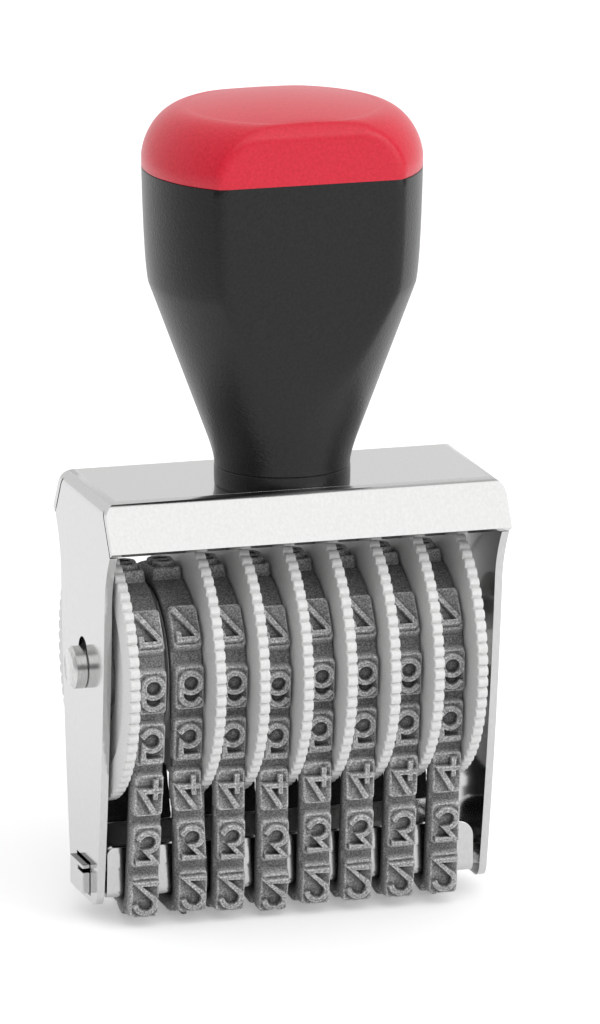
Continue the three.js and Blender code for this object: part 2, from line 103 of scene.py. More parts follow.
# Wheels, with the ribs' turn as a share of a whole turn
TEETH = 72
TOOTH_DEPTH = 0.65 * MM
RIM_WIDE = 1.35 * MM
RIM_INNER = 13.5 * MM
RIM_STEP = 0.4 * MM
DRUM_RADIUS = 10.05 * MM
DRUM_WALL = 1.4 * MM
BORE_RADIUS = 4.3 * MM
BOSS_RADIUS = 5.5 * MM
WEB = 0.8 * MM
RIB_THICK, RIB_SET_BACK = 0.9 * MM, 1.0 * MM
RIBS, RIB_TURN, RIB_OVERLAP = 4, 0.09, 0.5 * MM
RIM_CHAMFER = 0.12 * MM

# Bands
BAND_BASE = 1.3 * MM
BAND_RADIUS = 11.0 * MM
BAND_CORNER = 2.15 * MM
BAND_EDGE = 0.22 * MM

# Blocks on a band: how many, how many would fill it, and where the first is as a share of its length
PADS, PITCHES = 15, 15.6
FIRST_PAD = 0.27
PAD_LONG, PAD_WIDE = 5.9 * MM, 4.0 * MM
PAD_TAPER = 0.14 * MM
PAD_ROUND = 0.5 * MM
PAD_RISE = 1.2 * MM
PAD_SUNK = 0.5 * MM
DIGIT_RISE = 0.64 * MM
DIGIT_HIGH, DIGIT_WIDE = 4.75 * MM, 3.3 * MM
STROKE_TOP, STROKE_FOOT, STROKE_CHAMFER = 0.7 * MM, 0.92 * MM, 0.1 * MM
MITRE_LEAST = 0.5
MARK_AT_PAD = {0: "7", 1: "6", 2: "5", 3: "4", 4: "3", 5: "2", 6: "1", 7: "0",
               8: "-", 9: "/", 10: ".", 11: "+", 13: "9", 14: "8"}

# How the bands lie, from the first to the last: their blocks' offsets along them and their leans
PAD_OFFSETS = [offset * MM for offset in (0, -0.3, 0, 0.5, 0, 0, 0, -0.1)]
LEANS = [lean * MM for lean in (0.45, 1.3, 0.55, 0.6, 0.4, 0.2, 0.1, 0.15)]
SHIFT_OF_FIRST, REAR_LEAN = 0.6 * MM, 1.5 * MM
REAR_HASTE = 1.8
LEAN_TOP = 19.3 * MM

# Tones of the rubber, which hold painted light: painted shade on the inner face, the strip darker than
# the blocks as painted shade between them, painted shade in narrow places, and painted highlights on
# stroke tops and block edges. Rays that leave a point measure how open its place is.
INNER_SHADE_TONE, STRIP_TONE, PAD_TONE, STROKE_TONE, EDGE_HIGHLIGHT_TONE = 0.03, 0.19, 0.31, 0.32, 0.5
# The edge bend above which a block's edge gets a painted highlight.
HIGHLIGHT_BEND = math.radians(25)
CUT_STEP = 0.42 * MM
OPEN_RAYS, OPEN_REACH, OPEN_START = 20, 1.8 * MM, 0.021 * MM
OPEN_POWER = 2.9
GOLDEN_ANGLE = math.pi * (3 - math.sqrt(5))

# Handle
NECK_RADIUS = 8.8 * MM
NECK_TURN = 2.7 * MM
FLARE_RISE, FLARE_RADIUS = 5.4 * MM, 9.8 * MM
BELLY_RISE, BELLY_RADIUS = 25.6 * MM, 17.3 * MM
SHOULDER_RISE, SHOULDER_RADIUS = 28.1 * MM, 17.85 * MM
SEAM_RADIUS = 18.15 * MM
SEAM_RISE = 40.7 * MM
FLAT_DEPTH, FLAT_FOOT_DEPTH = 13.4 * MM, 12.2 * MM
FLAT_EDGE = 0.7 * MM
FLAT_ROUND, FLAT_TOP_DROP = 2.6 * MM, 3.3 * MM
CAP_SIDE, CAP_CROWN = 1.6 * MM, 1.0 * MM
CAP_ROUND, CAP_DRAFT = 5.8 * MM, 0.4 * MM
CROWN_POLE = 0.02
SEAM_CHAMFER = 0.12 * MM
RING_PROUD, RING_CHAMFER = 0.05 * MM, 0.2 * MM
SCREW_CLEAR = 0.3 * MM

# Axle buttons
BUTTON_STANDS_OFF = 0.03 * MM
BUTTON_EDGE, BUTTON_CHAMFER, BUTTON_DOME = 0.1 * MM, 0.45 * MM, 0.15 * MM
BUTTON_EDGE_SHARE, BUTTON_FACE = 0.8, 0.9 * MM

# Studio
FLOOR_HALF, FLOOR_DROP = 1.5, 0.02 * MM
FLOOR_GLOW, FLOOR_COLOUR = 0.33, (0.86, 0.86, 0.87)
DARK_FLOOR, DARK_FLOOR_SLANT = (-0.35, -0.15), 0.6
ROOM_STEP = -0.55, 0.55
FRONT_LEVEL, BACK_LEVEL, SOFT_BOX_LEVEL = 0.32, 0.93, 1.53
SOFT_BOX_WAY, SOFT_BOX_SPREAD = (0.2, -0.62, 0.75), (28, 45)
LAMP_PLACE, LAMP_AIM = (0.85, -0.95, 0.45), (0, 0, 50 * MM)
LAMP_SIZE, LAMP_POWER = 0.9, 4.2

# Steps along curves
FINE_STEPS, LOOP_STEPS = 10, 90
BAND_EDGE_STEPS, PAD_ROUND_STEPS = 3, 4
NECK_STEPS, CONE_STEPS, SHOULDER_STEPS = 12, 24, 20
CAP_STEPS, CROWN_STEPS = 28, 16
HANDLE_COLUMNS = 256
HOLE_STEPS, BORE_STEPS, BUTTON_STEPS, COLLAR_STEPS = 48, 32, 64, 128

# Making meshes: how near two points are one, and how far a cutting tool reaches past what it cuts
MERGE, WELD = 1e-7, 1e-6
BEYOND = 1.0 * MM
FLAT_WITHIN, EDGE_ABOVE = math.radians(0.3), math.radians(40)


def camera_like_the_photograph():
    """A long lens from the left of the front, a little above, aimed at the middle of the frame's top."""
    azimuth, elevation = math.radians(16.5), math.radians(13.3)
    target = Vector((0, 0, TOP))
    distance = 1.444
    focal_pixels = 11150
    image = Vector((600, 1024))
    target_pixel = Vector((282.1, 472.45))
    back = Vector((-math.sin(azimuth) * math.cos(elevation),
                   -math.cos(azimuth) * math.cos(elevation),
                   math.sin(elevation)))
    data = bpy.data.cameras.new("camera")
    data.lens = focal_pixels * data.sensor_width / image.y
    data.shift_x = (image.x / 2 - target_pixel.x) / image.y
    data.shift_y = (target_pixel.y - image.y / 2) / image.y
    data.clip_start, data.clip_end = 0.05, 20.0
    camera = new_object("camera", data)
    camera.location = target + back * distance
    camera.rotation_mode = "QUATERNION"
    camera.rotation_quaternion = (-back).to_track_quat("-Z", "Y")
    bpy.context.scene.camera = camera


# Meshes
def new_object(name, data):
    made = bpy.data.objects.new(name, data)
    bpy.context.scene.collection.objects.link(made)
    return made


def new_piece(name, points, faces):
    mesh = bpy.data.meshes.new(name)
    mesh.from_pydata([tuple(p) for p in points], [], faces)
    mesh.update()
    return new_object(name, mesh)


def ring_faces(rings, count, closed=False):
    """The faces between rings of count points, and from the last ring to the first one if closed."""
    faces = []
    for k in range(rings if closed else rings - 1):
        near, far = k * count, (k + 1) % rings * count
        for i in range(count):
            j = (i + 1) % count
            faces.append((near + i, near + j, far + j, far + i))
    return faces


def end_faces(rings, count):
    """The two faces that close the first and the last ring."""
    return [tuple(range(count)), tuple(range((rings - 1) * count, rings * count))]


def clean_up(piece, merge=MERGE, smooth_below=None):
    """Merges doubled points, turns the faces outwards, and shades smooth below some degrees."""
    work = bmesh.new()
    work.from_mesh(piece.data)
    bmesh.ops.remove_doubles(work, verts=work.verts, dist=merge)
    bmesh.ops.recalc_face_normals(work, faces=work.faces)
    for face in work.faces:
        face.smooth = smooth_below is not None
    if smooth_below is not None:
        limit = math.radians(smooth_below)
        for edge in work.edges:
            edge.smooth = len(edge.link_faces) == 2 and edge.calc_face_angle(0.0) < limit
    work.to_mesh(piece.data)
    work.free()
    return piece


def baked(piece):
    """The piece with its modifiers applied to its mesh."""
    graph = bpy.context.evaluated_depsgraph_get()
    mesh = bpy.data.meshes.new_from_object(piece.evaluated_get(graph))
    piece.modifiers.clear()
    old = piece.data
    piece.data = mesh
    if isinstance(old, bpy.types.Mesh) and old.users == 0:
        bpy.data.meshes.remove(old)
    return piece


def combined(piece, tool, operation):
    """The piece joined with, cut by or limited to the tool, which is used up."""
    modifier = piece.modifiers.new("cut", "BOOLEAN")
    modifier.operation = operation
    modifier.solver = "MANIFOLD"
    modifier.object = tool
    baked(piece)
    bpy.data.objects.remove(tool)
    return piece


def prism(name, outline, axis, low, high):
    """A closed prism: the outline is in Y and Z along X, or in X and Z along Y."""
    count = len(outline)
    place = (lambda u, v, w: (w, u, v)) if axis == "X" else (lambda u, v, w: (u, w, v))
    points = [place(u, v, w) for w in (low, high) for u, v in outline]
    return clean_up(new_piece(name, points, ring_faces(2, count) + end_faces(2, count)))


def block(name, low, high):
    """A box between its lowest and highest corners."""
    outline = [(low[0], low[2]), (high[0], low[2]), (high[0], high[2]), (low[0], high[2])]
    return prism(name, outline, "Y", low[1], high[1])


def rounded_outline(corners, steps=FINE_STEPS):
    """The closed line through (x, y, radius) corners, with each rounded corner as an arc."""
    points = []
    for i, (x, y, radius) in enumerate(corners):
        here = Vector((x, y))
        if radius == 0:
            points.append(tuple(here))
            continue
        back = (Vector(corners[i - 1][:2]) - here).normalized()
        on = (Vector(corners[(i + 1) % len(corners)][:2]) - here).normalized()
        half = back.angle(on) / 2
        start = here + back * radius / math.tan(half)
        centre = here + (back + on).normalized() * radius / math.sin(half)
        first = start - centre
        turn = -1 if back.cross(on) > 0 else 1
        sweep = turn * (math.pi - 2 * half)
        for k in range(steps + 1):
            spun = Matrix.Rotation(sweep * k / steps, 2) @ first
            points.append(tuple(centre + spun))
    return points


def rounded_rectangle(x, y, radius, steps):
    """A rectangle's outline from its half sizes, with round corners."""
    corners = [(-x, -y, radius), (x, -y, radius), (x, y, radius), (-x, y, radius)]
    return rounded_outline(corners, steps)


def bent_strip(line, thickness, outer_radius):
    """The outline of sheet bent along a line, with the sheet on the right of the line."""
    points = [Vector(p) for p in line]
    right = []
    for a, b in zip(points, points[1:]):
        along = (b - a).normalized()
        right.append(Vector((along.y, -along.x)))
    outer, inner = [], []
    for i, p in enumerate(points):
        before, after = right[max(i - 1, 0)], right[min(i, len(right) - 1)]
        inside = p + (before + after) * thickness / (1 + before.dot(after))
        bent = 0 < i < len(points) - 1
        outer.append((p.x, p.y, outer_radius if bent else 0))
        inner.append((inside.x, inside.y, outer_radius - thickness if bent else 0))
    return rounded_outline(outer + inner[::-1])


def curve_points(a, control, b, steps=FINE_STEPS):
    """A quadratic curve from a to b, drawn towards the control point."""
    a, control, b = Vector(a), Vector(control), Vector(b)
    points = []
    for k in range(steps + 1):
        t = k / steps
        points.append(tuple(a * (1 - t) ** 2 + control * (2 * t * (1 - t)) + b * t ** 2))
    return points


def cubic_points(start, near_start, near_end, end, steps):
    """A cubic curve from start to end, drawn towards the two points between."""
    points = []
    for k in range(steps + 1):
        t = k / steps
        points.append(tuple(start * (1 - t) ** 3 + near_start * 3 * t * (1 - t) ** 2
                            + near_end * 3 * t * t * (1 - t) + end * t ** 3))
    return points


def revolved(name, profile, steps, about="Z", height=0.0):
    """A closed profile of (along, radius) points turned about Z, or about the axle's line."""
    points = []
    for k in range(steps):
        angle = 2 * math.pi * k / steps
        for along, radius in profile:
            u, v = radius * math.cos(angle), radius * math.sin(angle)
            points.append((u, v, along) if about == "Z" else (along, u, height + v))
    faces = ring_faces(steps, len(profile), closed=True)
    return clean_up(new_piece(name, points, faces), smooth_below=35)


def round_edges(piece, width, steps=2):
    """Small round edges on a sheet or block, with its flats kept flat."""
    clean = bmesh.new()
    clean.from_mesh(piece.data)
    bmesh.ops.remove_doubles(clean, verts=clean.verts, dist=WELD)
    bmesh.ops.dissolve_limit(clean, angle_limit=FLAT_WITHIN, verts=clean.verts, edges=clean.edges)
    for face in clean.faces:
        face.smooth = True
    clean.to_mesh(piece.data)
    clean.free()
    bevel = piece.modifiers.new("edges", "BEVEL")
    bevel.width = width
    bevel.segments = steps
    bevel.limit_method = "ANGLE"
    bevel.angle_limit = EDGE_ABOVE
    bevel.use_clamp_overlap = True
    bevel.harden_normals = True
    return baked(piece)


# Attributes and nodes
def write_values(mesh, name, values):
    """Writes a value for each point, as an attribute that a material reads."""
    mesh.attributes.new(name, "FLOAT", "POINT").data.foreach_set("value", values)


def wire(tree, *links):
    """Joins nodes: each link is a node and its output, and then a node and its input."""
    for start, output, end, entry in links:
        tree.links.new(start.outputs[output], end.inputs[entry])


# Materials
def material(name, base, roughness, metallic=0.0):
    """A Principled material, its node tree and its shader."""
    made = bpy.data.materials.new(name)
    made.use_nodes = True
    tree = made.node_tree
    shader = tree.nodes["Principled BSDF"]
    shader.inputs["Base Color"].default_value = (*base, 1)
    shader.inputs["Roughness"].default_value = roughness
    shader.inputs["Metallic"].default_value = metallic
    return made, tree, shader


def grain(tree, scale, detail=4.0, stretch=(1, 1, 1)):
    """Noise in the object's own space, stretched where a finish has a direction."""
    place = tree.nodes.new("ShaderNodeTexCoord")
    mapping = tree.nodes.new("ShaderNodeMapping")
    mapping.inputs["Scale"].default_value = stretch
    noise = tree.nodes.new("ShaderNodeTexNoise")
    noise.inputs["Scale"].default_value = scale
    noise.inputs["Detail"].default_value = detail
    wire(tree, (place, "Object", mapping, "Vector"), (mapping, "Vector", noise, "Vector"))
    return noise


def ramp(tree, noise, stops):
    """A colour ramp over a noise, with (place, colour or grey level) stops."""
    node = tree.nodes.new("ShaderNodeValToRGB")
    while len(node.color_ramp.elements) < len(stops):
        node.color_ramp.elements.new(1.0)
    for element, (at, colour) in zip(node.color_ramp.elements, stops):
        element.position = at
        element.color = (colour, colour, colour, 1) if isinstance(colour, float) else (*colour, 1)
    wire(tree, (noise, "Fac", node, "Fac"))
    return node.outputs["Color"]


def mottled(tree, noise, low, high):
    """A colour or level between two, which the middle of a noise's range runs through."""
    return ramp(tree, noise, [(0.3, low), (0.7, high)])


def bump(tree, shader, noise, strength, distance):
    """A noise as fine relief on the surface."""
    node = tree.nodes.new("ShaderNodeBump")
    node.inputs["Strength"].default_value = strength
    node.inputs["Distance"].default_value = distance
    wire(tree, (noise, "Fac", node, "Height"), (node, "Normal", shader, "Normal"))


def grained(name, base, dark, light, roughness, scale, strength, distance, metallic=0.0,
            specular=0.5, detail=3.0, stretch=(1, 1, 1)):
    """A finish that a noise mottles between two colours and gives a fine relief."""
    made, tree, shader = material(name, base, roughness, metallic)
    shader.inputs["Specular IOR Level"].default_value = specular
    noise = grain(tree, scale, detail, stretch)
    tree.links.new(mottled(tree, noise, dark, light), shader.inputs["Base Color"])
    bump(tree, shader, noise, strength, distance)
    return made


def bright_sheet():
    """Bright plating, painted dark grey where the attribute marks an edge, as a painted dark reflection.
    """
    made, tree, shader = material("bright_sheet", (0.57, 0.57, 0.565), roughness=0.15, metallic=1.0)
    fine = grain(tree, scale=2800, detail=3.0, stretch=(1, 1, 0.5))
    tone = mottled(tree, fine, (0.55, 0.55, 0.545), (0.59, 0.59, 0.585))
    # The marked edges are painted dark grey, as a painted dark reflection.
    painted_dark_edge, edge = tree.nodes.new("ShaderNodeAttribute"), tree.nodes.new("ShaderNodeMix")
    painted_dark_edge.attribute_name = "painted_dark_edge"
    edge.data_type = "RGBA"
    edge.inputs["B"].default_value = (0.13, 0.13, 0.13, 1)
    wire(tree, (painted_dark_edge, "Fac", edge, "Factor"))
    tree.links.new(tone, edge.inputs["A"])
    wire(tree, (edge, "Result", shader, "Base Color"))
    uneven = grain(tree, scale=70, detail=5.0)
    tree.links.new(mottled(tree, uneven, 0.10, 0.13), shader.inputs["Roughness"])
    bump(tree, shader, fine, strength=0.05, distance=0.05 * MM)
    return made


def band_rubber():
    """Grey rubber: the attribute gives its tone with painted highlights and painted shade, and the grain
    mottles it.
    """
    made, tree, shader = material("band_rubber", (0.17, 0.17, 0.17), roughness=0.7)
    # The tone attribute holds painted highlights and painted shade.
    uneven = tree.nodes.new("ShaderNodeAttribute")
    uneven.attribute_name = "tone"
    fine = grain(tree, scale=4500, detail=3.0)
    mottle = ramp(tree, fine, [(0.35, 0.5), (0.5, 0.95), (0.65, 1.55)])
    both = tree.nodes.new("ShaderNodeMix")
    both.data_type, both.blend_type = "RGBA", "MULTIPLY"
    both.inputs["Factor"].default_value = 1.0
    wire(tree, (uneven, "Color", both, "A"))
    tree.links.new(mottle, both.inputs["B"])
    wire(tree, (both, "Result", shader, "Base Color"))
    bump(tree, shader, fine, strength=0.5, distance=0.1 * MM)
    return made


def dress(piece, finish, node, body="stamp_body"):
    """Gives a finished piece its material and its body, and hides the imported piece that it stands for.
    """
    piece.data.materials.clear()
    piece.data.materials.append(finish)
    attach(piece, body)
    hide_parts(node)


# Frame
def side_outline():
    """The side plates' outline in Y and Z, waisted under the lips and tapered to the foot."""
    slope = Vector((LIP_REACH, -LIP_DROP)).normalized()
    under = Vector((slope.y, -slope.x)) * (SHEET + LIP_SLIT)
    tip = Vector((LIP_HALF, TOP - LIP_DROP)) + under
    inset = tip.x - LIP_REACH * (TOP - SHEET - tip.y) / LIP_DROP
    wing = curve_points(tip, (WAIST_HALF, (WAIST_Z + tip.y) / 2), (WAIST_HALF, WAIST_Z))
    flank = curve_points((WAIST_HALF, WAIST_Z), (FLANK_HALF, FLANK_Z), (FOOT_HALF, FOOT + FOOT_ROUND))
    foot = rounded_outline([(FOOT_HALF, FOOT + FOOT_ROUND, 0), (FOOT_HALF, FOOT, FOOT_ROUND),
                            (0, FOOT, 0)])
    half = [(inset, TOP), (inset, TOP - SHEET)] + wing[:-1] + flank + foot[2:-1]
    return half + [(-y, z) for y, z in reversed(half)]


def slot_outline():
    """An upright slot with round ends for the end of the axle, in Y and Z."""
    points = []
    for end, centre in ((0, AXLE_Z + SLOT_RISE - SLOT_RADIUS), (math.pi, AXLE_Z)):
        for k in range(2 * FINE_STEPS + 1):
            angle = end + math.pi * k / (2 * FINE_STEPS)
            points.append((SLOT_RADIUS * math.cos(angle), centre + SLOT_RADIUS * math.sin(angle)))
    return points


def frame_shell():
    """The bent sheet: two sides under a roof with lips, cut for the axle, the bridge and the screw."""
    beyond = HALF_WIDTH + BEYOND
    legs = bent_strip([(-HALF_WIDTH, FOOT), (-HALF_WIDTH, TOP), (HALF_WIDTH, TOP),
                       (HALF_WIDTH - RIGHT_LEAN, FOOT)], SHEET, BEND)
    shell = prism("frame_shell", legs, "Y", -LIP_HALF, LIP_HALF)
    combined(shell, prism("sides", side_outline(), "X", -beyond, beyond), "INTERSECT")
    roof_line = [(-LIP_HALF, TOP - LIP_DROP), (-PLATE_HALF, TOP), (PLATE_HALF, TOP),
                 (LIP_HALF, TOP - LIP_DROP)]
    roof = prism("roof", bent_strip(roof_line, SHEET, BEND), "X", -HALF_WIDTH, HALF_WIDTH)
    ends = rounded_outline([(-HALF_WIDTH, FOOT, 0), (HALF_WIDTH - RIGHT_LEAN, FOOT, 0),
                            (HALF_WIDTH, TOP, BEND), (-HALF_WIDTH, TOP, BEND)])
    combined(roof, prism("ends", ends, "Y", -LIP_HALF - BEYOND, LIP_HALF + BEYOND), "INTERSECT")
    combined(shell, roof, "UNION")
    combined(shell, prism("slots", slot_outline(), "X", -beyond, beyond), "DIFFERENCE")
    tabs = block("tabs", (-beyond, -TAB_HALF - TAB_CLEAR, BRIDGE_LOW.z - TAB_CLEAR),
                 (beyond, TAB_HALF + TAB_CLEAR, BRIDGE_LOW.z + TAB_HEIGHT + TAB_CLEAR))
    combined(shell, tabs, "DIFFERENCE")
    start, end = TOP - SHEET - BEYOND, TOP + BEYOND
    hole = [(start, 0), (start, SCREW_HOLE), (end, SCREW_HOLE), (end, 0)]
    combined(shell, revolved("hole", hole, HOLE_STEPS), "DIFFERENCE")
    return round_edges(shell, EDGE_ROUND)


def bridge_channel():
    """The sheet channel with its two slit tabs, whose upper edges it marks for a painted dark
    reflection.
    """
    low, high = BRIDGE_LOW.z, BRIDGE_HIGH.z
    channel = bent_strip([(BRIDGE_HALF, high), (BRIDGE_HALF, low), (-BRIDGE_HALF, low),
                          (-BRIDGE_HALF, high)], SHEET, BRIDGE_BEND)
    bridge = prism("bridge_channel", channel, "X", BRIDGE_LEFT, BRIDGE_RIGHT)
    face = rounded_outline([(BRIDGE_LEFT, low, 0), (BRIDGE_RIGHT, low, 0),
                            (BRIDGE_RIGHT, high, BRIDGE_CORNER), (BRIDGE_LEFT, high, BRIDGE_CORNER / 2)])
    combined(bridge, prism("face", face, "Y", -BRIDGE_HALF - BEYOND, BRIDGE_HALF + BEYOND), "INTERSECT")
    lid = low + TAB_HEIGHT - TAB_LID
    for start, end in ((BRIDGE_LOW.x, BRIDGE_LEFT + SHEET), (BRIDGE_RIGHT - SHEET, BRIDGE_HIGH.x)):
        tab = block("tab", (start, -TAB_HALF, low), (end, TAB_HALF, low + TAB_HEIGHT))
        slit = block("slit", (start - BEYOND, -TAB_HALF - BEYOND, lid - TAB_SLIT),
                     (end + BEYOND, TAB_SLIT_END, lid))
        combined(tab, slit, "DIFFERENCE")
        combined(bridge, tab, "UNION")
    round_edges(bridge, EDGE_ROUND)
    # The tabs' upper edges are marked to be painted dark grey, as a painted dark reflection.
    on_edge = [abs(vert.co.z - low - TAB_HEIGHT) < EDGE_ROUND / 2 for vert in bridge.data.vertices]
    write_values(bridge.data, "painted_dark_edge", on_edge)
    return bridge


# Geometry Nodes
def new_tree(name, inputs, output):
    """An empty tree with its named inputs, each of a kind, and its one output of geometry."""
    tree = bpy.data.node_groups.new(name, "GeometryNodeTree")
    for label, kind in inputs.items():
        tree.interface.new_socket(label, in_out="INPUT", socket_type="NodeSocket" + kind)
    tree.interface.new_socket(output, in_out="OUTPUT", socket_type="NodeSocketGeometry")
    return tree


def set_inputs(modifier, **values):
    """Sets a modifier's inputs by the identifiers of their sockets."""
    for item in modifier.node_group.interface.items_tree:
        if item.item_type == "SOCKET" and item.in_out == "INPUT" and item.name in values:
            modifier[item.identifier] = values[item.name]


# Number wheels
def ring_of_sectors():
    """Geometry Nodes: repeats the sector that it is given round the X axis and welds the copies."""
    inputs = {"Sector": "Geometry", "Count": "Int", "Weld": "Float", "Finish": "Material"}
    tree = new_tree("ring_of_sectors", inputs, "Ring")
    add = tree.nodes.new
    given, result = add("NodeGroupInput"), add("NodeGroupOutput")
    spots, index = add("GeometryNodePoints"), add("GeometryNodeInputIndex")
    step, turn = add("ShaderNodeMath"), add("ShaderNodeMath")
    step.operation, turn.operation = "DIVIDE", "MULTIPLY"
    step.inputs[0].default_value = 2 * math.pi
    angle = add("FunctionNodeAxisAngleToRotation")
    angle.inputs["Axis"].default_value = (1, 0, 0)
    copies, real = add("GeometryNodeInstanceOnPoints"), add("GeometryNodeRealizeInstances")
    weld, finish = add("GeometryNodeMergeByDistance"), add("GeometryNodeSetMaterial")
    wire(tree, (given, "Count", spots, "Count"), (given, "Count", step, 1), (step, 0, turn, 0),
         (index, 0, turn, 1), (turn, 0, angle, "Angle"), (spots, 0, copies, "Points"),
         (given, "Sector", copies, "Instance"), (angle, 0, copies, "Rotation"),
         (given, "Weld", weld, "Distance"), (copies, 0, real, "Geometry"),
         (real, 0, weld, "Geometry"), (weld, 0, finish, "Geometry"),
         (given, "Finish", finish, "Material"), (finish, 0, result, "Ring"))
    return tree


def tooth_sector(radius):
    """One tooth's share of a wheel's rim about the X axis, with its outer face at zero."""
    tooth = [(-0.5, 0), (-0.32, 0.8), (-0.12, 1), (0.12, 1), (0.32, 0.8), (0.5, 0)]
    root = radius - TOOTH_DEPTH
    points = []
    for share, rise in tooth:
        tip = root + TOOTH_DEPTH * rise
        profile = [(-RIM_STEP, RIM_INNER), (0, RIM_INNER + RIM_CHAMFER), (0, tip - RIM_CHAMFER),
                   (-RIM_CHAMFER, tip), (RIM_CHAMFER - RIM_WIDE, tip), (-RIM_WIDE, tip - RIM_CHAMFER),
                   (-RIM_WIDE, RIM_INNER)]
        angle = 2 * math.pi * share / TEETH
        points += [(x, r * math.sin(angle), r * math.cos(angle)) for x, r in profile]
    return new_piece("number_wheel", points, ring_faces(len(tooth), len(profile)))


def toothed_wheel(finish, radius, drum_end):
    """A wheel about the X axis: toothed rim, disc, drum towards -X, and ribs in the pocket."""
    wheel = tooth_sector(radius)
    modifier = wheel.modifiers.new("teeth", "NODES")
    modifier.node_group = ring_of_sectors()
    set_inputs(modifier, Count=TEETH, Weld=WELD, Finish=finish)
    clean_up(baked(wheel), merge=WELD)
    drum_inner, floor = DRUM_RADIUS - DRUM_WALL, drum_end + WEB
    hub = [(-RIM_STEP, drum_inner), (-RIM_STEP, RIM_INNER + RIM_CHAMFER),
           (-RIM_WIDE, RIM_INNER + RIM_CHAMFER), (-RIM_WIDE, DRUM_RADIUS), (drum_end, DRUM_RADIUS),
           (drum_end, BORE_RADIUS), (-RIM_STEP, BORE_RADIUS), (-RIM_STEP, BOSS_RADIUS),
           (floor, BOSS_RADIUS), (floor, drum_inner)]
    combined(wheel, revolved("hub", hub, 2 * TEETH, "X"), "UNION")
    inner, outer = BOSS_RADIUS - RIB_OVERLAP, drum_inner + RIB_OVERLAP
    for k in range(RIBS):
        rib = block("rib", (floor - WEB / 2, -RIB_THICK / 2, inner),
                    (-RIM_STEP - RIB_SET_BACK, RIB_THICK / 2, outer))
        rib.data.transform(Matrix.Rotation(2 * math.pi * (k / RIBS + RIB_TURN), 4, "X"))
        combined(wheel, rib, "UNION")
    return clean_up(wheel, merge=WELD, smooth_below=32)


def number_wheels(finish):
    """Eight copies of one wheel, the first of them turned the other way round."""
    low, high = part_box(WHEELS[1])
    master = toothed_wheel(finish, (high.z - low.z) / 2, low.x - high.x)
    for number, node in enumerate(WHEELS, start=1):
        low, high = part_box(node)
        mesh = master.data.copy()
        if number == 1:
            mesh.transform(Matrix.Rotation(math.pi, 4, "Z"))
        mesh.transform(Matrix.Translation((low.x if number == 1 else high.x, 0, AXLE_Z)))
        wheel = new_object(f"toothed_wheel_{number}", mesh)
        dress(wheel, finish, node, f"wheel_{number}")
    bpy.data.objects.remove(master)


# Number bands
def band_arcs():
    """The three arcs of a band's middle line: (y, z, radius, start angle, end angle, steps).
    The front is at half a turn."""
    y = BRIDGE_HALF - BRIDGE_BEND
    z = BRIDGE_LOW.z + BRIDGE_BEND
    rise = AXLE_Z - z
    taper = math.asin((BAND_RADIUS - BAND_CORNER) / math.hypot(y, rise)) - math.atan(y / rise)
    down = 1.5 * math.pi
    return [(0, AXLE_Z, BAND_RADIUS, -taper, math.pi + taper, LOOP_STEPS),
            (-y, z, BAND_CORNER, math.pi + taper, down, FINE_STEPS),
            (y, z, BAND_CORNER, down, 2 * math.pi - taper, FINE_STEPS)]


def band_line():
    """Points of the middle line in Y and Z, each with its outward direction."""
    line = []
    for y, z, radius, start, end, steps in band_arcs():
        for k in range(steps + 1):
            angle = start + (end - start) * k / steps
            out = Vector((math.cos(angle), math.sin(angle)))
            line.append((Vector((y, z)) + out * radius, out))
    return line


def band_strip():
    """The endless strip: a rounded rectangle swept round the middle line, centred on X."""
    half_wide = (BAND_HIGH.x - BAND_LOW.x) / 2
    section = rounded_rectangle(half_wide, BAND_BASE / 2, BAND_EDGE, BAND_EDGE_STEPS)
    line = band_line()
    points = []
    for at, out in line:
        for x, rise in section:
            spot = at + out * rise
            points.append((x, spot.x, spot.y))
    faces = ring_faces(len(line), len(section), closed=True)
    strip = clean_up(new_piece("band_strip", points, faces), smooth_below=40)
    # The inner face is painted nearly black as painted shade, and the outer face a darker grey than the
    # blocks as painted shade between them.
    around = [INNER_SHADE_TONE if rise < 0 else STRIP_TONE for _, rise in section]
    write_values(strip.data, "tone", around * len(line))
    return strip


def arc_points(x, y, rx, ry, start, end, steps=14):
    """Points on an ellipse's arc, with its angles in degrees."""
    points = []
    for k in range(steps + 1):
        angle = math.radians(start + (end - start) * k / steps)
        points.append((x + rx * math.cos(angle), y + ry * math.sin(angle)))
    return points


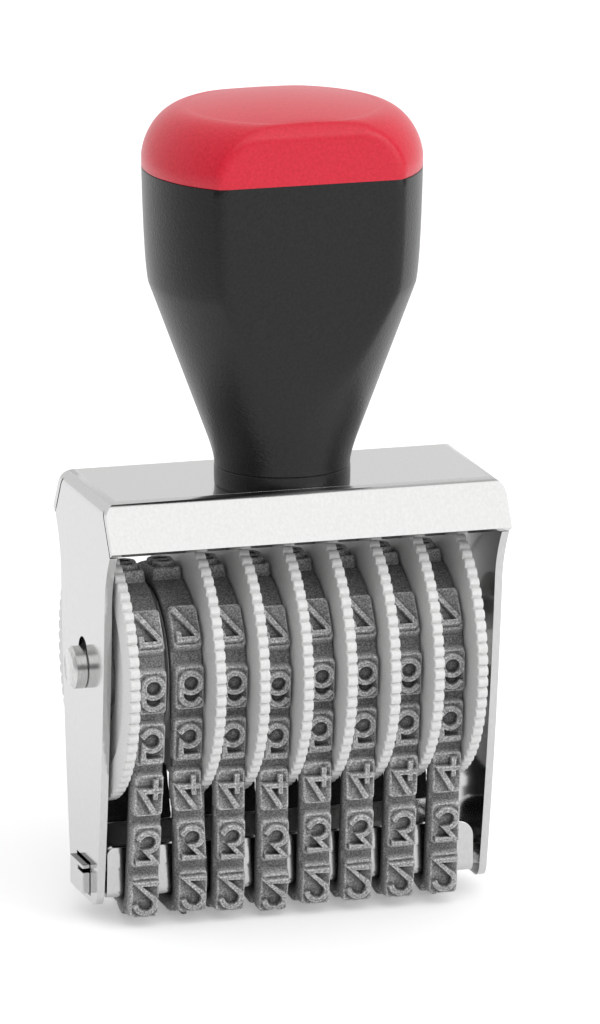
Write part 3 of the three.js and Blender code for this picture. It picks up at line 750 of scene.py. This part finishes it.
def mark_strokes():
    """The middle lines of each character's strokes, in a box of one by one, and whether each closes."""
    ring = arc_points(0, -0.19, 0.5, 0.31, 0, 360, 28)[:-1]
    tail = [(-0.5, -0.19)] + arc_points(0, 0.17, 0.5, 0.33, 180, 38)
    return {
        "0": [(arc_points(0, 0, 0.5, 0.5, 0, 360, 32)[:-1], True)],
        "1": [([(-0.3, 0.24), (0.08, 0.5), (0.08, -0.5)], False)],
        "2": [(arc_points(0, 0.2, 0.5, 0.3, 165, -35) + [(-0.45, -0.5), (0.5, -0.5)], False)],
        "3": [([(-0.45, 0.5), (0.42, 0.5), (-0.08, 0.12)]
               + arc_points(0, -0.19, 0.5, 0.31, 78, -150), False)],
        "4": [([(0.2, 0.5), (-0.44, -0.2), (0.5, -0.2)], False), ([(0.26, 0), (0.26, -0.5)], False)],
        "5": [([(0.42, 0.5), (-0.4, 0.5), (-0.4, 0.02)]
               + arc_points(0, -0.17, 0.5, 0.33, 125, -145), False)],
        "6": [(ring, True), (tail, False)],
        "7": [([(-0.46, 0.32), (-0.46, 0.5), (0.36, 0.5), (0.44, 0.47), (0.46, 0.41), (0.4, 0.32),
                (-0.5, -0.5)], False)],
        "8": [(arc_points(0, 0.25, 0.42, 0.25, 0, 360, 26)[:-1], True), (ring, True)],
        "9": [([(-x, -y) for x, y in ring], True), ([(-x, -y) for x, y in tail], False)],
        "-": [([(-0.45, 0), (0.45, 0)], False)],
        "/": [([(-0.45, -0.5), (0.45, 0.5)], False)],
        ".": [([(-0.06, -0.45), (0.06, -0.45)], False)],
        "+": [([(-0.5, 0), (0.5, 0)], False), ([(0, -0.35), (0, 0.35)], False)],
    }


def stroke_solid(line, closed):
    """One raised stroke along a line in X and Y, from under the pad's face to the printing face."""
    points = [Vector(p) for p in line]
    top, foot, chamfer = STROKE_TOP / 2, STROKE_FOOT / 2, STROKE_CHAMFER
    section = [(-foot, -PAD_TAPER), (-top, DIGIT_RISE - chamfer), (-top + chamfer, DIGIT_RISE),
               (top - chamfer, DIGIT_RISE), (top, DIGIT_RISE - chamfer), (foot, -PAD_TAPER)]
    total = len(points)
    places = []
    for i, here in enumerate(points):
        before = points[i - 1] if closed or i > 0 else None
        after = points[(i + 1) % total] if closed or i < total - 1 else None
        spans = [(before, here), (here, after)]
        on = [(b - a).normalized() for a, b in spans if a is not None and b is not None]
        along = (on[0] + on[-1]).normalized()
        side = Vector((-along.y, along.x)) / max(MITRE_LEAST, along.dot(on[0]))
        if not closed and i in (0, total - 1):
            here = here + along * (top if i else -top)
        places += [(here.x + side.x * u, here.y + side.y * u, w) for u, w in section]
    faces = ring_faces(total, len(section), closed)
    if not closed:
        faces += end_faces(total, len(section))
    return clean_up(new_piece("stroke", places, faces))


def pad_block(number):
    """One block: X across the band, Y along it and Z out of it, with its character if it has one."""
    rings = [(0, -PAD_SUNK), (0, 0), (PAD_TAPER, PAD_RISE - PAD_TAPER), (2 * PAD_TAPER, PAD_RISE)]
    points = []
    for inset, rise in rings:
        outline = rounded_rectangle(PAD_WIDE / 2 - inset, PAD_LONG / 2 - inset, PAD_ROUND,
                                    PAD_ROUND_STEPS)
        points += [(x, y, rise) for x, y in outline]
    count = len(points) // len(rings)
    faces = end_faces(len(rings), count) + ring_faces(len(rings), count)
    pad = clean_up(new_piece(f"pad_{number:02d}", points, faces))
    size = Vector((DIGIT_WIDE - STROKE_TOP, DIGIT_HIGH - STROKE_TOP))
    strokes = mark_strokes().get(MARK_AT_PAD.get(number), [])
    for line, closed in strokes:
        stroke = stroke_solid([(x * size.x, -y * size.y) for x, y in line], closed)
        stroke.data.transform(Matrix.Translation((0, 0, PAD_RISE)))
        combined(pad, stroke, "UNION")
    clean_up(pad, smooth_below=28)
    return painted_highlight_and_shade_tones(pad, bool(strokes))


def painted_highlight_and_shade_tones(pad, cut):
    """Writes each point's tone with painted light: painted highlights on edges and stroke tops, and
    painted shade that darkens narrow places.
    A block that has a character is first cut finely enough to hold these tones."""
    work = bmesh.new()
    work.from_mesh(pad.data)
    if cut:
        for axis, half in ((0, PAD_WIDE / 2), (1, PAD_LONG / 2)):
            normal = Vector((axis == 0, axis == 1, 0))
            steps = round(2 * half / CUT_STEP)
            for k in range(1, steps):
                everything = work.verts[:] + work.edges[:] + work.faces[:]
                bmesh.ops.bisect_plane(work, geom=everything, dist=WELD, plane_no=normal,
                                       plane_co=normal * (2 * half * k / steps - half))
    bmesh.ops.triangulate(work, faces=work.faces)
    work.normal_update()
    tree = BVHTree.FromBMesh(work)
    tones = []
    for vert in work.verts:
        across = vert.normal.orthogonal().normalized()
        along = vert.normal.cross(across)
        start = vert.co + vert.normal * OPEN_START
        free = 0
        for k in range(OPEN_RAYS):
            share, angle = (k + 0.5) / OPEN_RAYS, k * GOLDEN_ANGLE
            ray = (vert.normal * math.sqrt(1 - share)
                   + (across * math.cos(angle) + along * math.sin(angle)) * math.sqrt(share))
            free += tree.ray_cast(start, ray, OPEN_REACH)[0] is None
        openness = free / OPEN_RAYS
        bend = max((edge.calc_face_angle_signed(0.0) for edge in vert.link_edges), default=0.0)
        # Stroke tops a little lighter than the block's face, as a painted highlight.
        tone = STROKE_TONE if vert.co.z > PAD_RISE + DIGIT_RISE / 2 else PAD_TONE
        # Painted highlight along the block's sharp outer edges.
        if bend > HIGHLIGHT_BEND and vert.co.z > PAD_RISE - 2 * PAD_TAPER:
            tone = EDGE_HIGHLIGHT_TONE
        # Painted shade: the less open a point is, the darker its tone.
        tones.append(tone * openness ** OPEN_POWER)
    work.to_mesh(pad.data)
    work.free()
    write_values(pad.data, "tone", tones)
    return pad


def blocks_along_line():
    """Geometry Nodes: sets the collection's blocks in order along the closed line that it is given."""
    inputs = {"Line": "Geometry", "Blocks": "Collection", "Count": "Int", "Pitches": "Float",
              "Start": "Float", "Rise": "Float", "Finish": "Material"}
    tree = new_tree("blocks_along_line", inputs, "Row")
    add = tree.nodes.new
    given, result = add("NodeGroupInput"), add("NodeGroupOutput")
    spots, index = add("GeometryNodePoints"), add("GeometryNodeInputIndex")
    share, later, within = add("ShaderNodeMath"), add("ShaderNodeMath"), add("ShaderNodeMath")
    share.operation, later.operation, within.operation = "DIVIDE", "ADD", "FRACT"
    sample, blocks = add("GeometryNodeSampleCurve"), add("GeometryNodeCollectionInfo")
    sample.mode = "FACTOR"
    blocks.inputs["Separate Children"].default_value = True
    blocks.inputs["Reset Children"].default_value = True
    across, out = add("ShaderNodeVectorMath"), add("ShaderNodeVectorMath")
    across.operation, out.operation = "CROSS_PRODUCT", "SCALE"
    across.inputs[1].default_value = (1, 0, 0)
    place = add("ShaderNodeVectorMath")
    axes = add("FunctionNodeAxesToRotation")
    axes.primary_axis, axes.secondary_axis = "Z", "X"
    axes.inputs["Secondary Axis"].default_value = (1, 0, 0)
    copies, real = add("GeometryNodeInstanceOnPoints"), add("GeometryNodeRealizeInstances")
    copies.inputs["Pick Instance"].default_value = True
    finish = add("GeometryNodeSetMaterial")
    wire(tree, (given, "Line", sample, "Curves"), (given, "Count", spots, "Count"),
         (index, 0, share, 0), (given, "Pitches", share, 1), (share, 0, later, 0),
         (given, "Start", later, 1), (later, 0, within, 0), (within, 0, sample, "Factor"),
         (sample, "Tangent", across, 0), (across, 0, axes, "Primary Axis"), (across, 0, out, 0),
         (given, "Rise", out, "Scale"), (sample, "Position", place, 0), (out, 0, place, 1),
         (place, 0, spots, "Position"), (given, "Blocks", blocks, "Collection"),
         (spots, 0, copies, "Points"), (blocks, 0, copies, "Instance"),
         (index, 0, copies, "Instance Index"), (axes, 0, copies, "Rotation"),
         (copies, 0, real, "Geometry"), (real, 0, finish, "Geometry"),
         (given, "Finish", finish, "Material"), (finish, 0, result, "Row"))
    return tree


def band_blocks(finish, pads, tree, offset):
    """A band's blocks as one mesh centred on X, each moved along the band by the offset."""
    data = bpy.data.curves.new("band_line", "CURVE")
    data.dimensions = "3D"
    spline = data.splines.new("POLY")
    line = [at for at, _ in band_line()]
    spline.points.add(len(line) - 1)
    for point, at in zip(spline.points, line):
        point.co = (0, at.x, at.y, 1)
    spline.use_cyclic_u = True
    length = sum((b - a).length for a, b in zip(line, line[1:] + line[:1]))
    curve = new_object("band_blocks", data)
    modifier = curve.modifiers.new("blocks", "NODES")
    modifier.node_group = tree
    set_inputs(modifier, Blocks=pads, Count=PADS, Pitches=PITCHES,
               Start=FIRST_PAD + offset / length, Rise=BAND_BASE / 2, Finish=finish)
    graph = bpy.context.evaluated_depsgraph_get()
    mesh = bpy.data.meshes.new_from_object(curve.evaluated_get(graph))
    bpy.data.objects.remove(curve)
    return mesh


def lean_band(mesh, lean, shift):
    """Slides a band sideways below the wheels, by its own lean in front and a common one behind,
    and presses it flat on what it stands on."""
    for vert in mesh.vertices:
        down = min(max((LEAN_TOP - vert.co.z) / (LEAN_TOP - BRIDGE_LOW.z), 0), 1)
        behind = min(max((vert.co.y / BRIDGE_HALF + 1) / 2, 0), 1)
        behind = behind * behind * (3 - 2 * behind)
        in_front = (lean - shift) * math.sin(math.pi / 2 * down)
        at_rear = REAR_LEAN * math.sin(math.pi / 2 * min(REAR_HASTE * down, 1))
        vert.co.x += shift + in_front * (1 - behind) + at_rear * behind
        vert.co.z = max(vert.co.z, 0)


def number_bands(finish):
    """Eight bands of one strip and one set of blocks, each with its own offset and lean."""
    pads, tree, strip = bpy.data.collections.new("pads"), blocks_along_line(), band_strip()
    for number in range(PADS):
        pads.objects.link(pad_block(number))
    for number, node in enumerate(BANDS, start=1):
        low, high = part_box(node)
        whole = bmesh.new()
        whole.from_mesh(strip.data)
        whole.from_mesh(band_blocks(finish, pads, tree, PAD_OFFSETS[number - 1]))
        mesh = bpy.data.meshes.new(f"rubber_band_{number}")
        whole.to_mesh(mesh)
        whole.free()
        lean_band(mesh, LEANS[number - 1], SHIFT_OF_FIRST if number == 1 else 0)
        mesh.transform(Matrix.Translation(((low.x + high.x) / 2, 0, 0)))
        band = new_object(f"rubber_band_{number}", mesh)
        dress(band, finish, node)
    for used in [strip] + list(pads.objects):
        bpy.data.objects.remove(used)


# Handle
def soft_least(a, b, width):
    """The lesser of two lengths, with the corner between them rounded over a width."""
    near = max(width - abs(a - b), 0) / width
    return min(a, b) - near * near * width / 4


def flatted(name, profile, flat_depth):
    """A round body about Z from (height, radius) points, with a flat at the front and at the back.
    The depth of the flats is a function of the height."""
    points = []
    for height, radius in profile:
        for k in range(HANDLE_COLUMNS):
            angle = 2 * math.pi * (k + 0.5) / HANDLE_COLUMNS
            flat = flat_depth(height) / abs(math.sin(angle))
            reach = soft_least(radius, flat, FLAT_EDGE)
            points.append((reach * math.cos(angle), reach * math.sin(angle), height))
    rings = len(profile)
    faces = ring_faces(rings, HANDLE_COLUMNS) + end_faces(rings, HANDLE_COLUMNS)
    return clean_up(new_piece(name, points, faces), smooth_below=45)


def handle_grip():
    """The flared body: a neck that turns outwards, a cone, a rounded shoulder and the seam."""
    foot, base = RING_LOW.z, RING_HIGH.z
    seam = foot + SEAM_RISE
    neck = curve_points((base, NECK_RADIUS), (foot + NECK_TURN, NECK_RADIUS),
                        (foot + FLARE_RISE, FLARE_RADIUS), NECK_STEPS)
    start, end = Vector(neck[-1]), Vector((foot + BELLY_RISE, BELLY_RADIUS))
    cone = [tuple(start.lerp(end, k / CONE_STEPS)) for k in range(1, CONE_STEPS)]
    side = curve_points(tuple(end), (foot + SHOULDER_RISE, SHOULDER_RADIUS), (seam, SEAM_RADIUS),
                        SHOULDER_STEPS)
    lip = [(seam - SEAM_CHAMFER, side[-1][1]), (seam, SEAM_RADIUS - SEAM_CHAMFER)]
    slope = (FLAT_DEPTH - FLAT_FOOT_DEPTH) / SEAM_RISE

    def flat_depth(height):
        return FLAT_FOOT_DEPTH + slope * (height - foot)

    grip = flatted("handle_grip", neck + cone + side[:-1] + lip, flat_depth)
    below, tip = foot - BEYOND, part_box("handle_screw")[1].z + SCREW_CLEAR
    bore = [(below, 0), (below, SCREW_HOLE), (tip, SCREW_HOLE), (tip, 0)]
    return combined(grip, revolved("bore", bore, BORE_STEPS), "DIFFERENCE")


def handle_cap():
    """The cap: an upright side, a large round edge and a low crown, with flats that round over."""
    seam, top = RING_LOW.z + SEAM_RISE, CAP_HIGH.z
    rim = top - CAP_CROWN
    profile = [(seam, SEAM_RADIUS - SEAM_CHAMFER), (seam + SEAM_CHAMFER, SEAM_RADIUS)]
    profile += cubic_points(Vector((seam + CAP_SIDE, SEAM_RADIUS)),
                            Vector((rim - CAP_ROUND / 2, SEAM_RADIUS - CAP_DRAFT)),
                            Vector((rim, SEAM_RADIUS - CAP_ROUND / 2)),
                            Vector((rim, SEAM_RADIUS - CAP_ROUND)), CAP_STEPS)
    edge = profile[-1][1]
    for k in range(1, CROWN_STEPS):
        reach = math.cos(math.pi / 2 * k / CROWN_STEPS)
        profile.append((top - CAP_CROWN * reach ** 2, edge * reach))
    profile.append((top, edge * CROWN_POLE))

    def flat_depth(height):
        over = max(0.0, height - (top - FLAT_TOP_DROP))
        return FLAT_DEPTH - FLAT_ROUND + math.sqrt(max(FLAT_ROUND ** 2 - over ** 2, 0))

    return flatted("grip_cap", profile, flat_depth)


def handle_collar():
    low, high = RING_LOW.z, RING_HIGH.z
    outer = NECK_RADIUS + RING_PROUD
    profile = [(low, SCREW_HOLE), (low, outer), (high - RING_CHAMFER, outer),
               (high, outer - RING_CHAMFER), (high, SCREW_HOLE)]
    return revolved("handle_collar", profile, COLLAR_STEPS)


# Axle buttons
def axle_button(name, node, side):
    """A button pressed on the axle's end: a disc with a chamfered rim and a socket for the axle.
    The side is -1 for the left one and 1 for the right one."""
    low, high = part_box(node)
    near, far = low.x - BUTTON_STANDS_OFF, high.x
    if side < 0:
        near, far = -HALF_WIDTH - BUTTON_STANDS_OFF, low.x
    radius, socket = (high.y - low.y) / 2, far - side * BUTTON_FACE
    profile = [(near, SLOT_RADIUS), (near, radius - BUTTON_EDGE), (near + side * BUTTON_EDGE, radius),
               (far - side * BUTTON_CHAMFER, radius),
               (far - side * BUTTON_EDGE, radius - BUTTON_CHAMFER * BUTTON_EDGE_SHARE),
               (far, radius - BUTTON_CHAMFER - BUTTON_DOME), (far, 0), (socket, 0),
               (socket, SLOT_RADIUS)]
    return revolved(name, profile, BUTTON_STEPS, "X", AXLE_Z)


# Studio
def soft_lamp():
    data = bpy.data.lights.new("lamp", "AREA")
    data.shape = "RECTANGLE"
    data.size = data.size_y = LAMP_SIZE
    data.energy = LAMP_POWER
    lamp = new_object("lamp", data)
    lamp.location = LAMP_PLACE
    lamp.rotation_mode = "QUATERNION"
    lamp.rotation_quaternion = (Vector(LAMP_AIM) - Vector(LAMP_PLACE)).to_track_quat("-Z", "Y")


def math_node(tree, operation, *inputs):
    """The result of a Math node over values and other nodes' results."""
    node = tree.nodes.new("ShaderNodeMath")
    node.operation = operation
    for socket, given in zip(node.inputs, inputs):
        if isinstance(given, float):
            socket.default_value = given
        else:
            tree.links.new(given, socket)
    return node.outputs[0]


def level_between(tree, value, start, end, low, high):
    """A value's soft step from low to high between start and end."""
    step = tree.nodes.new("ShaderNodeMapRange")
    step.interpolation_type = "SMOOTHSTEP"
    for name, number in (("From Min", start), ("From Max", end), ("To Min", low), ("To Max", high)):
        step.inputs[name].default_value = number
    tree.links.new(value, step.inputs["Value"])
    return step.outputs["Result"]


def floor_glow(tree):
    """The floor's own light: for the camera all of it, and for mirrors all but at the front left."""
    add = tree.nodes.new
    rays, place, split = (add("ShaderNode" + kind) for kind in ("LightPath", "TexCoord", "SeparateXYZ"))
    wire(tree, (place, "Object", split, 0))
    across = math_node(tree, "MULTIPLY_ADD", split.outputs["Y"], DARK_FLOOR_SLANT, split.outputs["X"])
    lit = level_between(tree, across, *DARK_FLOOR, 0.0, 1.0)
    mirrored = math_node(tree, "MULTIPLY", rays.outputs["Is Glossy Ray"], lit)
    seen = math_node(tree, "MAXIMUM", rays.outputs["Is Camera Ray"], mirrored)
    return math_node(tree, "MULTIPLY", seen, FLOOR_GLOW)


def studio_floor():
    """A white floor that shows the object's shadow."""
    signs = ((-1, -1), (1, -1), (1, 1), (-1, 1))
    corners = [(x * FLOOR_HALF, y * FLOOR_HALF, 0) for x, y in signs]
    floor = new_piece("floor", corners, [(0, 1, 2, 3)])
    floor.location.z = -FLOOR_DROP
    made, tree, shader = material("floor", FLOOR_COLOUR, roughness=0.9)
    shader.inputs["Specular IOR Level"].default_value = 0.0
    glow, both = tree.nodes.new("ShaderNodeEmission"), tree.nodes.new("ShaderNodeAddShader")
    tree.links.new(floor_glow(tree), glow.inputs["Strength"])
    wire(tree, (shader, 0, both, 0), (glow, 0, both, 1))
    tree.links.new(both.outputs[0], tree.nodes["Material Output"].inputs["Surface"])
    floor.data.materials.append(made)


def studio_room():
    """A room that is darker in front than behind, with a soft box above the front. The camera sees
    it white."""
    world = bpy.data.worlds.new("studio")
    world.use_nodes = True
    bpy.context.scene.world = world
    tree = world.node_tree
    way, split = tree.nodes.new("ShaderNodeTexCoord"), tree.nodes.new("ShaderNodeSeparateXYZ")
    wire(tree, (way, "Generated", split, 0))
    room = level_between(tree, split.outputs["Y"], *ROOM_STEP, FRONT_LEVEL, BACK_LEVEL)
    towards = tree.nodes.new("ShaderNodeVectorMath")
    towards.operation = "DOT_PRODUCT"
    towards.inputs[1].default_value = Vector(SOFT_BOX_WAY).normalized()
    wire(tree, (way, "Generated", towards, 0))
    inside, outside = (math.cos(math.radians(angle)) for angle in SOFT_BOX_SPREAD)
    soft_box = level_between(tree, towards.outputs["Value"], outside, inside, 0.0, SOFT_BOX_LEVEL)
    rays, level = tree.nodes.new("ShaderNodeLightPath"), tree.nodes.new("ShaderNodeMix")
    level.data_type = "FLOAT"
    level.inputs["B"].default_value = 1.0
    wire(tree, (rays, "Is Camera Ray", level, "Factor"))
    tree.links.new(math_node(tree, "MAXIMUM", room, soft_box), level.inputs["A"])
    tree.links.new(level.outputs[0], tree.nodes["Background"].inputs["Strength"])
    tree.nodes["Background"].inputs["Color"].default_value = (1, 1, 1, 1)


# The stamp in its studio
camera_like_the_photograph()

# Finishes: the steel has the fine rings of a lathe along X
SHEET_FINISH = bright_sheet()
STEEL_FINISH = grained("turned_steel", (0.60, 0.60, 0.59), (0.52, 0.52, 0.51), (0.66, 0.66, 0.65),
                       roughness=0.2, metallic=1.0, scale=1400, detail=2.0, stretch=(6, 1, 1),
                       strength=0.08, distance=0.05 * MM)
WHEEL_FINISH = grained("white_plastic", (0.81, 0.81, 0.80), (0.76, 0.76, 0.75), (0.85, 0.85, 0.84),
                       roughness=0.45, scale=3000, strength=0.12, distance=0.05 * MM)
RUBBER_FINISH = band_rubber()
BLACK_FINISH = grained("black_plastic", (0.006, 0.006, 0.0065), (0.003, 0.003, 0.0035),
                       (0.009, 0.009, 0.0095), roughness=0.30, specular=0.36, scale=2600,
                       strength=0.5, distance=0.1 * MM)
RED_FINISH = grained("red_plastic", (0.70, 0.014, 0.038), (0.65, 0.010, 0.030), (0.75, 0.018, 0.046),
                     roughness=0.32, specular=0.42, scale=2600, strength=0.3, distance=0.08 * MM)

# Pieces
dress(frame_shell(), SHEET_FINISH, "frame")
dress(bridge_channel(), SHEET_FINISH, "bridge")
number_wheels(WHEEL_FINISH)
number_bands(RUBBER_FINISH)
dress(handle_grip(), BLACK_FINISH, "handle_body")
dress(handle_collar(), BLACK_FINISH, "handle_ring")
dress(handle_cap(), RED_FINISH, "handle_cap")
for end, side in (("left", -1), ("right", 1)):
    button = axle_button(f"axle_button_{end}", f"axle_head_{end}", side)
    dress(button, STEEL_FINISH, f"axle_head_{end}")
for kept in ("axle", "wheel_spacer", "axle_bush", "handle_screw", "screw_washer"):
    materials = frame["nodes"][kept].data.materials
    materials.clear()
    materials.append(STEEL_FINISH)

studio_floor()
studio_room()
soft_lamp()
bpy.context.scene.view_settings.view_transform = "Standard"
